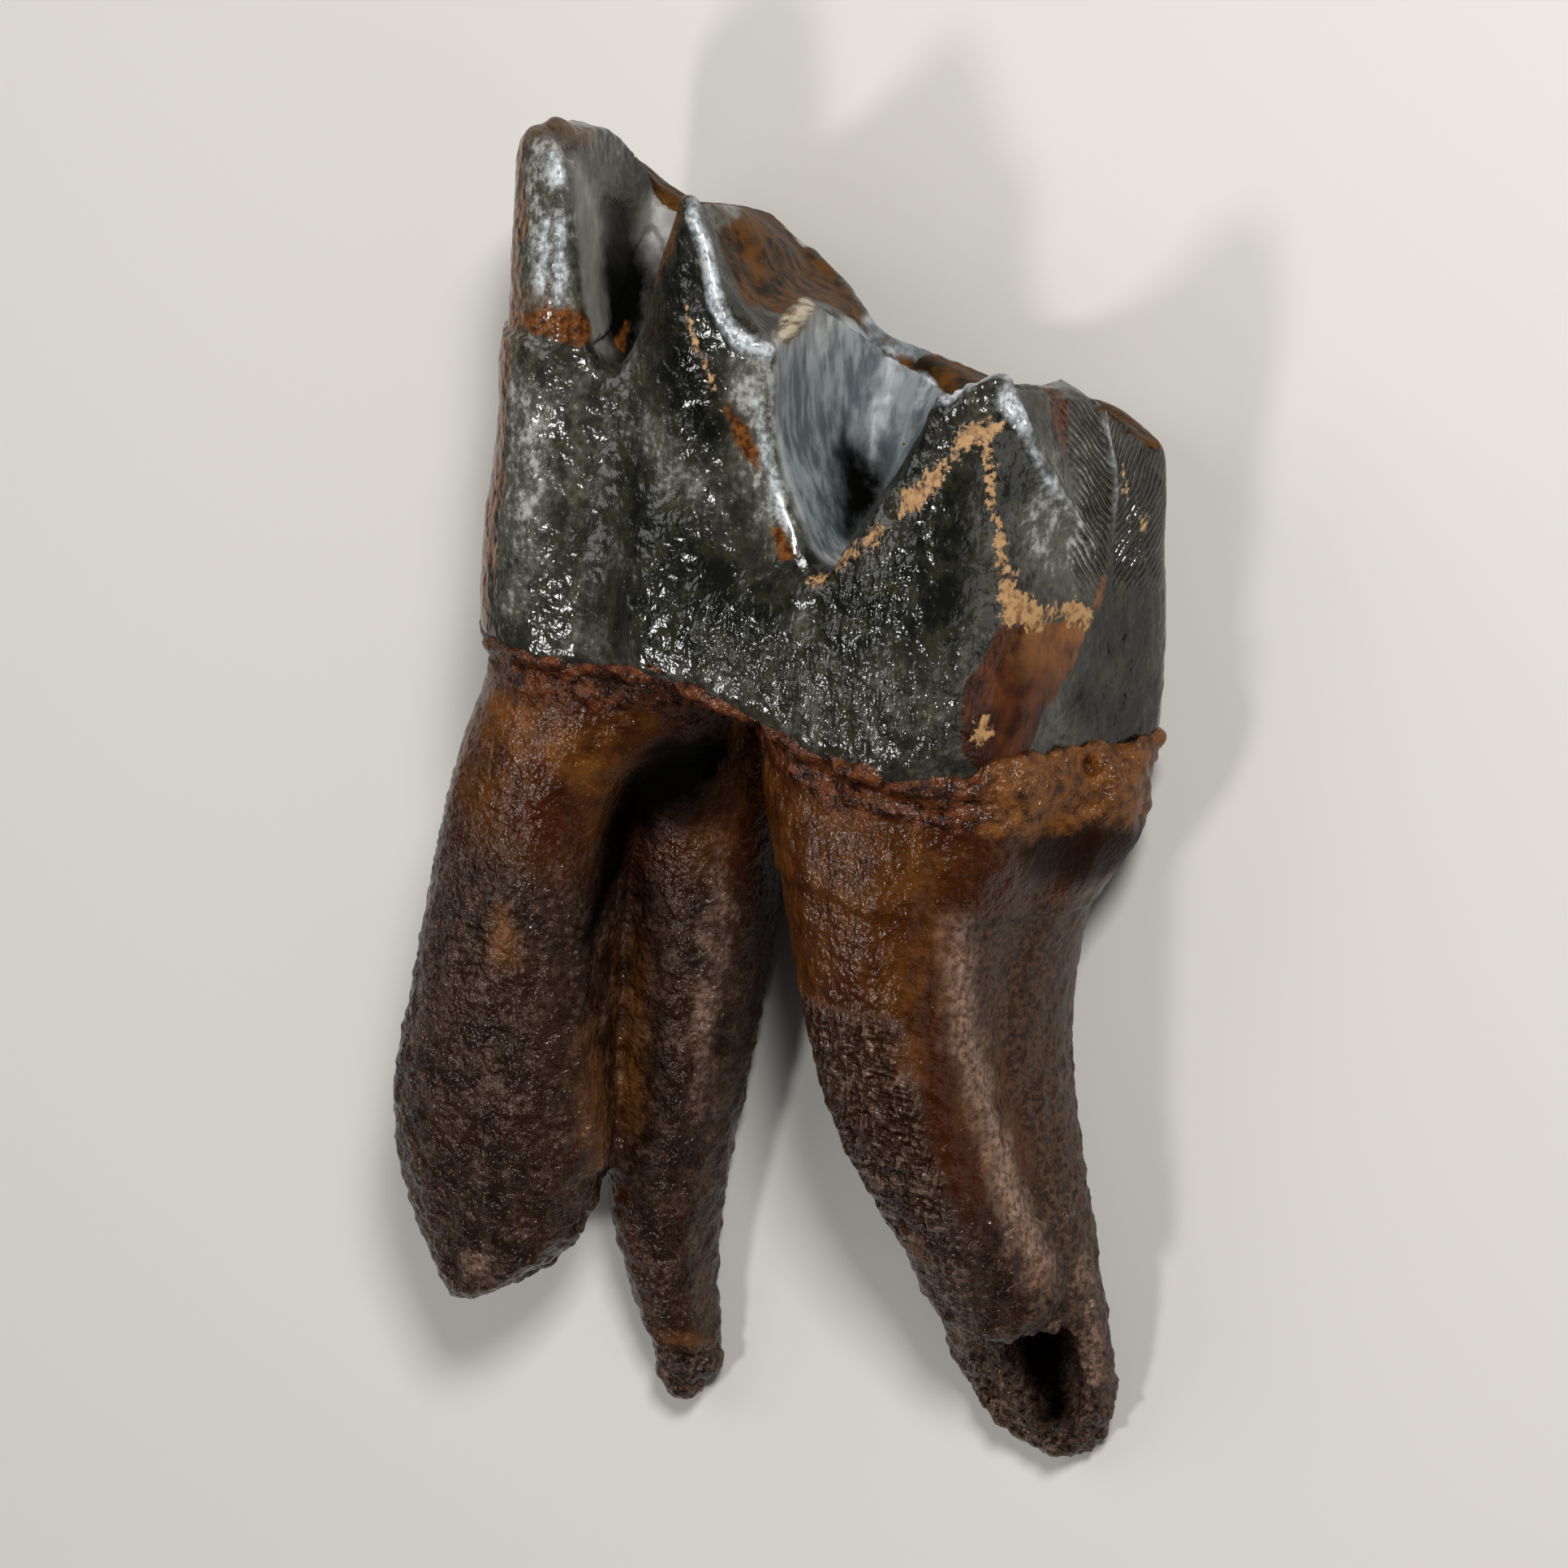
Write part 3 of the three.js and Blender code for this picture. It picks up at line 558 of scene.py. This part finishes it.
ROOTS_VOXEL = 0.3
NECK = {"x": (-6, 4, 17, 32, 42, 50), "tongue": (1.6, 1.2, 3.2, 0.4, 0.8, 3.0),
        "cheek": (-0.6, -1.2, -0.4, -1.0, -0.6, 2.2)}
TONGUE_FACE_Z = 26
CRUST_TOP = 2.4
CRUST_OUT = 0.45


def above_neck(points):
    """How far each point is above the neck line, where the enamel ends."""
    tongue = np.interp(points[:, 0], NECK["x"], NECK["tongue"])
    cheek = np.interp(points[:, 0], NECK["x"], NECK["cheek"])
    return points[:, 1] - cheek - (tongue - cheek) * rise(points[:, 2], 0, TONGUE_FACE_Z)


# The crust is the crown's own surface near the neck, set a little out.
collar = fused_halves("trigonid", "talonid")
only(*collar)
bpy.ops.object.join()
collar = bpy.context.view_layer.objects.active
points = places(collar)
points[:, 1] = above_neck(points)
put(collar, points)
only(collar)
bpy.ops.object.mode_set(mode="EDIT")
bpy.ops.mesh.select_all(action="SELECT")
bpy.ops.mesh.subdivide(number_cuts=1)
bpy.ops.mesh.select_all(action="SELECT")
top = (np.array((0, CRUST_TOP, 0)) + NECK_FRONT) * MM
bpy.ops.mesh.bisect(plane_co=top, plane_no=(0, 1, 0), use_fill=True, clear_outer=True)
bpy.ops.mesh.select_all(action="SELECT")
bpy.ops.transform.shrink_fatten(value=CRUST_OUT * MM)
bpy.ops.object.mode_set(mode="OBJECT")
points = places(collar)
points[:, 1] += points[:, 1] - above_neck(points)
put(collar, points)

halves = fused_halves("mesial_root", "distal_root")
for half in halves:
    points = places(half)
    points[above_neck(points) > -0.4, 1] += 0.7
    put(half, points)
roots = skin_over("roots", [*halves, collar], ROOTS_VOXEL)

# Lines and patches on the roots, as places on the tooth with half the width there.
DISTAL_RIDGE = [(42.6, -10, 22, 0.3), (43.4, -18, 20.8, 0.8), (45.2, -24.8, 18.4, 0.8),
                (48.2, -34, 15.2, 1.4), (50, -39, 13.2, 1.2)]
MESIAL_RIDGE = [(8.9, -20, 20.6, 0.4), (8.9, -26, 20, 1.2), (9, -33, 18.6, 1.6), (9.6, -39, 17.4, 1.4),
                (10.8, -43, 15.4, 0.6)]
MESIAL_END = [(-1, -59, 14, 1.6), (5, -54.6, 14, 1.6), (9, -49.6, 14, 1.6), (11.4, -44.6, 14, 1.2)]
DISTAL_END = [(38, -45, 12, 1.6), (44, -47, 12, 1.8), (50, -46, 11, 1.6), (52.4, -42.6, 11, 1.2)]
DISTAL_STEP_Y = -10.2

at = places(roots)
out = normals(roots)
x, y, z = at.T
height = above_neck(at)
distal = rise(x, 21, 24)
back_side = rise(x, 42.5, 45.5)
crusty = rise(height + 0.8 * lumps(at, 2.5, 18), -3.6 - 1.6 * back_side, -2.4 - 1.6 * back_side)
push(roots, crusty * (0.2 + 0.4 * lumps(at, 2.4, 11, 2) + 0.16 * lumps(at, 0.9, 19)))
crust_to = 0.5 + 1.9 * back_side
bare = rise(height + 1.3 * lumps(at, 3.6, 20, 2), crust_to - 0.6, crust_to + 0.6)
push(roots, -1.1 * CRUST_OUT * bare - 0.35 * bare)
crust_hole = [(48, 2.4, 14.4, 0.5), (48.2, 1.4, 14, 0.4)]
push(roots, -1.1 * rise(depth_in(at, crust_hole), -0.5, 0.3))

# Ridges along the lobes, a step round the distal root, growth ripples, and pits where it was etched.
push(roots, 0.35 * bead(at, DISTAL_RIDGE, 1.4) + 0.4 * bead(at, MESIAL_RIDGE, 1.0))
step = rise(y + 0.5 * lumps(at, 4, 12, 2), DISTAL_STEP_Y - 0.3, DISTAL_STEP_Y + 0.3) * rise(y, 0, -6)
push(roots, 0.28 * step * distal)
below = rise(height, -1.5, -5)
push(roots, 0.16 * below * lumps(at, (2.4, 18, 2.4), 13, 2))
bent = y + 0.05 * (x - 2) ** 2 + 0.9 * lumps(at, 6, 14, 2)
ripple = np.sin(2 * np.pi * bent / 0.9) * rise(lumps(at, (4, 7, 4), 21), -0.25, 0.3)
push(roots, 0.06 * ripple * rise(height, -5, -9) * rise(y, -44, -38) * (1 - distal))
push(roots, (0.12 + 0.14 * rise(y, -14, -30)) * lumps(at, 1.3, 15, 3))
etched = [(34, -20, 25, 2), (36, -25, 24, 3.5), (39, -31, 21, 4), (40, -37, 18.5, 3)]
pitted = rise(depth_in(at, etched), -2, 1)
push(roots, 0.16 * pitted * (lumps(at, (0.6, 1.5, 0.6), 22) + lumps(at, (1.6, 0.55, 1.6), 23)))

# The old breaks at the tips are rough.
tips = rise(y, -49, -53) * distal + rise(y, -60, -62.5) * (1 - distal)
broken = np.maximum(rise(depth_in(at, MESIAL_END, DISTAL_END), -1.5, 0.5), tips)
push(roots, broken * (0.55 * lumps(at, 2.0, 16, 3) + 0.16 * lumps(at, 0.8, 17)))
thin_to(roots, MOST_TRIANGLES)

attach(roots, "root")
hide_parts("mesial_root", "distal_root")

# What shows where on the roots: painted highlight on the ridge and cheek lobe, pale rims near the breaks,
# painted shade in the furrows and the hollows, and spots of amber and red stain.
# The first two strokes, on the back root's ridge and the front root's cheek lobe, are painted highlight; the
# rest are pale patches near the breaks.
PALE_AND_HIGHLIGHTS = [DISTAL_RIDGE,
        [(16.6, -12, 14.6, -0.8), (17, -18, 13, 0.1), (16.4, -28, 12, 0.1), (16, -38, 10, -0.6)],
        [(41, -44, 14, 0.4), (42.6, -51, 8, 0.8), (44, -55.5, 5.5, 0.6)],
        [(51.6, -40, 8, 0), (53, -46, 7, 0.3), (54, -52, 6, 0.3)],
        [(0.9, -54.8, 18.2, 0.5), (1.8, -54.4, 18, 0.5)]]
# Painted shade along the furrows between the lobes, beside the hollow between the roots, and on the back
# root's neck and end.
FURROW_SHADES = [[(9.6, -12, 19, 1.4), (9.2, -17, 20, 0.8), (8.9, -23, 20.5, 0.5), (8.7, -29, 21, 0.3)],
           [(11, -18, 14.6, 1.0), (12.6, -26, 13.6, 0.8), (12.8, -37, 12.2, 0.8), (11.8, -48, 10, 0.8)],
           [(18.9, -16, 10.6, 0.5), (18.7, -22, 8.4, 0.9), (18, -32, 6.4, 0.8)],
           [(45, -1.6, 21, 1.2), (47.6, -4, 17, 3), (49, -4.6, 13, 3), (50, -5, 8, 2.6)],
           [(13.6, -10.6, 15.9, 2.2), (16, -9, 14.6, 2)],
           [(45.6, -44, 12.6, 1.0), (49, -43, 12.4, 1.6), (51.6, -43, 10.6, 1.0)]]
# Painted shade: near-black laid in the hollow between the roots and in the hollows at the broken ends.
HOLLOW_SHADES = [[(14, -5.5, 17.4, 4), (11.4, -9.5, 18, 3.6), (9.4, -16, 18, 2.3), (9, -22, 20.5, 0.8)],
        [(8.6, -5, 20, 1.6), (15, -4, 21, 1.6)], [(14, -6, 8, 3), (22, -6, 8, 3)],
        [(48.6, -50.4, 5, 2.6), (50, -55, 4.4, 1.8)], [(15.5, -63, 5.8, 0.5), (15.8, -62, 6, 0.4)]]
AMBER = [[(3.4, -20.6, 24.6, 0.4), (4, -24, 24.4, 0.6)],
         [(41, -21.2, 23.6, 0.3), (41.2, -22.6, 23.4, 0.35)],
         [(0.6, -2.5, 23, 0.8), (4, -5, 24.6, 1.6), (8.6, -6.4, 23.4, 1.2)],
         [(41, -39, 17.8, 0.5), (41.2, -40.4, 17.2, 0.4)],
         [(10.2, -24, 14.6, 0.6), (10.2, -33, 13, 0.8), (10.6, -40, 12, 0.6)],
         [(9, -31, 18.8, 0.6), (9.6, -36, 17.8, 1.1), (10.4, -41.6, 16.4, 0.9)],
         [(48, -37.5, 14.4, 0.6), (49.6, -40, 13, 0.9)],
         [(14.6, -60.4, 7, 0.5), (15.4, -66, 4.9, 0.6)], [(16.4, -60.4, 6, 0.5), (18, -65, 3, 0.6)]]
RED = [[(9.6, -48, 10.4, 1.2), (10, -54, 8.6, 1.4)], [(12, -61, 6, 1.2), (14, -65.5, 4.4, 0.6)],
       [(40.6, -37.6, 18.2, 0.7), (40.8, -38.6, 18, 0.6)],
       [(47.6, -43.4, 11.6, 0.8), (51, -44, 10.4, 0.9)], [(5, -12, 25, 2), (7.6, -15, 23.8, 2.2)]]
at = places(roots)
out = normals(roots)
x, y, z = at.T
height = above_neck(at)
distal = rise(x, 21, 24)
back_side = rise(x, 42.5, 45.5)
mark_patch(roots, "crust", height + 3.2 + 1.4 * back_side)
mark(roots, "back_crust", back_side)
mark(roots, "lower", (1 - distal) * rise(y, -6, -24) + distal * rise(y, -26, -40))
ridge_x = np.interp(-y, [-place[1] for place in DISTAL_RIDGE], [place[0] for place in DISTAL_RIDGE])
mark_patch(roots, "speckled", np.minimum(x - ridge_x - 0.4, DISTAL_STEP_Y + 1 - y))
pitted_depth = np.minimum(ridge_x - 3.4 - x, -19.4 + 0.1 * (x - 33) - y)
mark_patch(roots, "pitted", pitted_depth - 10 * MARK_REACH * (1 - distal))
past_break = distal * (-51 - y) + (1 - distal) * (-61 - y)
mark_patch(roots, "broken", np.maximum(depth_in(at, MESIAL_END, DISTAL_END), past_break))
mark_patch(roots, "pale_and_highlight", depth_in(at, *PALE_AND_HIGHLIGHTS))
mark_patch(roots, "furrow_shade", depth_in(at, *FURROW_SHADES))
mark_patch(roots, "hollow_shade", depth_in(at, *HOLLOW_SHADES))
mark_patch(roots, "amber", depth_in(at, *AMBER))
mark_patch(roots, "red", depth_in(at, *RED))

# Fossil dentine under cement, amber at the neck and purple-brown below: waxy, lined along its length
# and grained all over so that it glints, with a glossy reddish crust round the neck.
bone, tree = material("stained_dentine")
fine = grain(tree, (0.5, 0.6, 0.5), 3, 0.6)
middle = grain(tree, (1.8, 2.6, 1.8), 5, 0.6)
broad = grain(tree, (6, 9, 6), 3)
streaks = grain(tree, (1.6, 16, 1.6), 4, 0.6)
amber = mixed(tree, between(tree, middle, 0.3, 0.7), linear("#2b1102"), linear("#4b2906"))
amber = mixed(tree, between(tree, broad, 0.45, 0.65), amber, linear("#2e1003"))
purple = mixed(tree, between(tree, middle, 0.3, 0.7), linear("#130703"), linear("#2b190e"))
purple = mixed(tree, between(tree, broad, 0.45, 0.65), purple, linear("#241007"))
lower = between(tree, worked_out(tree, "MULTIPLY_ADD", middle, 0.6, marked(tree, "lower")), 0.5, 1.1)
colour = mixed(tree, lower, amber, purple)
speckled = patch(tree, "speckled", middle, 0.6, 0.5)
specks = mixed(tree, between(tree, fine, 0.4, 0.6), linear("#140803"), linear("#412c1d"))
colour = mixed(tree, worked_out(tree, "MULTIPLY", speckled, 0.85), colour, specks)
pitted = patch(tree, "pitted", middle, 1.0, 0.7)
colour = mixed(tree, worked_out(tree, "MULTIPLY", pitted, 0.8), colour, linear("#1d0b04"))
dark_lines = between(tree, streaks, 0.55, 0.72)
colour = mixed(tree, worked_out(tree, "MULTIPLY", dark_lines, 0.6), colour, linear("#180802"))
# Painted highlight on the ridge and cheek lobe, and pale rims near the breaks.
pale_and_highlight_tone = mixed(tree, between(tree, fine, 0.3, 0.7), linear("#46301f"), linear("#9a7d6e"))
pale_and_highlight = worked_out(tree, "MULTIPLY", patch(tree, "pale_and_highlight", middle, 2.2, 1.9), 0.8)
colour = mixed(tree, pale_and_highlight, colour, pale_and_highlight_tone)
# Painted shade: near-black laid along the furrows.
furrow_shade = patch(tree, "furrow_shade", middle, 1.2, 1.4)
colour = mixed(tree, furrow_shade, colour, linear("#170601"))
amber_spots = worked_out(tree, "MULTIPLY", patch(tree, "amber", middle, 1.8, 1.8), 0.7)
colour = mixed(tree, amber_spots, colour, linear("#6b4018"))
red_spots = worked_out(tree, "MULTIPLY", patch(tree, "red", middle, 1.6, 1.0), 0.7)
colour = mixed(tree, red_spots, colour, linear("#2f0e03"))
broken = patch(tree, "broken", middle, 1.6, 0.5)
broken_tone = mixed(tree, between(tree, fine, 0.36, 0.64), linear("#0a0402"), linear("#422d20"))
colour = mixed(tree, broken, colour, broken_tone)
pores = grain(tree, (0.6, 0.75, 0.6), 3, 0.5)
lengthways = grain(tree, (0.5, 1.6, 0.5), 1)
crossways = worked_out(tree, "MULTIPLY", grain(tree, (1.4, 0.45, 1.4), 1), 0.6)
netted = worked_out(tree, "ADD", lengthways, crossways)
# Painted glints: light specks on the high grain of the lower roots and on the net of the pitted zone.
painted_glint_places = worked_out(tree, "MULTIPLY", lower, 0.34)
painted_glint_places = worked_out(tree, "MULTIPLY", between(tree, middle, 0.44, 0.62), painted_glint_places)
painted_glints = worked_out(tree, "MULTIPLY", between(tree, fine, 0.4, 0.7), painted_glint_places)
painted_glint_net = worked_out(tree, "MULTIPLY", pitted, 0.55)
painted_glint_net = worked_out(tree, "MULTIPLY", between(tree, netted, 0.78, 1.02), painted_glint_net)
colour = mixed(tree, worked_out(tree, "MAXIMUM", painted_glints, painted_glint_net), colour, linear("#6a5446"))
crust = patch(tree, "crust", middle, 2.4, 0.5)
clots = grain(tree, (1.2, 1.2, 1.2), 5, 0.66)
red_crust = mixed(tree, between(tree, clots, 0.38, 0.64), linear("#180602"), linear("#532a10"))
orange_crust = mixed(tree, between(tree, clots, 0.3, 0.62), linear("#241005"), linear("#5f3812"))
crust_tone = mixed(tree, marked(tree, "back_crust"), red_crust, orange_crust)
colour = mixed(tree, crust, colour, crust_tone)
# Painted shade: the hollows are laid near-black.
hollow_shade = patch(tree, "hollow_shade", middle, 1.6, 1.4)
colour = mixed(tree, hollow_shade, colour, linear("#020100"))
pores = worked_out(tree, "MULTIPLY_ADD", netted, worked_out(tree, "MULTIPLY", pitted, 1.6), pores)
grainy = worked_out(tree, "MAXIMUM", crust, worked_out(tree, "MAXIMUM", pitted, broken))
grainy = worked_out(tree, "MAXIMUM", grainy, worked_out(tree, "MULTIPLY", lower, 0.8))
depth = worked_out(tree, "MULTIPLY_ADD", grainy, 0.2, 0.3)
height = worked_out(tree, "MULTIPLY", pores, depth)
bump = node(tree, "Bump", {"Strength": 1.0, "Distance": MM, "Height": height})
rough = worked_out(tree, "MULTIPLY_ADD", worked_out(tree, "MAXIMUM", furrow_shade, hollow_shade), 0.4, 0.19)
rough = worked_out(tree, "MULTIPLY_ADD", speckled, 0.18, rough)
rough = worked_out(tree, "MULTIPLY_ADD", grainy, -0.01, rough)
shine = worked_out(tree, "MAXIMUM", hollow_shade, worked_out(tree, "MULTIPLY", furrow_shade, 0.85))
shine = mixed(tree, shine, linear("#efe2da"), linear("#000000"))
surface = node(tree, "BsdfPrincipled", {"Base Color": colour, "Roughness": rough, "IOR": 1.4,
                                        "Specular Tint": shine, "Normal": bump.outputs["Normal"]})
node(tree, "OutputMaterial", {"Surface": surface.outputs["BSDF"]})
roots.data.materials.append(bone)

# ---- floor, light and camera ---------------------------------------------------------------------
# A floor with matt paint for the tooth to lie on, a soft key lamp above the crown's end with three
# fill lamps round it, and the camera, which looks down on the side of the tooth that faced the tongue.

bpy.ops.mesh.primitive_plane_add(size=4)
floor = bpy.context.active_object
floor.name = "floor"
paint, tree = material("matt_floor_paint")
surface = node(tree, "BsdfPrincipled", {"Base Color": linear("#bcb9b3"), "Roughness": 0.8})
node(tree, "OutputMaterial", {"Surface": surface.outputs["BSDF"]})
floor.data.materials.append(paint)

CAMERA_AT = Vector((155.39, 109.29, 307.58)) * MM
LOOKS_AT = Vector((0.3, 6.4, 15.9)) * MM
PICTURE_UP = Vector((-0.266, 0.945, -0.192))  # the way on the tooth that is up in the picture

bpy.ops.object.camera_add()
camera = bpy.context.active_object
camera.data.lens = 100
camera.data.sensor_width = 36
back = (CAMERA_AT - LOOKS_AT).normalized()
right = PICTURE_UP.cross(back).normalized()
turn = Matrix((right, back.cross(right), back)).transposed().to_4x4()
camera.matrix_world = Matrix.Translation(CAMERA_AT) @ turn
bpy.context.scene.camera = camera
bpy.context.scene.view_settings.view_transform = "Standard"


def lamp(name, place, size, watts):
    """A soft square lamp that faces the tooth."""
    bpy.ops.object.light_add(type="AREA", location=place)
    light = bpy.context.active_object
    light.name = name
    light.data.size = size
    light.data.energy = watts
    light.rotation_euler = (Vector(place) - Vector((0, 0, 0.015))).to_track_quat("Z", "Y").to_euler()


lamp("key", (0.22, 0.34, 0.38), 0.1, 3.6)
lamp("left_fill", (-0.35, 0.15, 0.35), 0.3, 0.7)
lamp("low_fill", (-0.15, -0.19, 0.49), 0.08, 1.1)
lamp("right_fill", (0.5, -0.1, 0.3), 0.35, 0.4)

world = bpy.data.worlds.new("studio")
bpy.context.scene.world = world
world.use_nodes = True
world.node_tree.nodes["Background"].inputs["Color"].default_value = linear("#f2f1ee")
world.node_tree.nodes["Background"].inputs["Strength"].default_value = 0.08
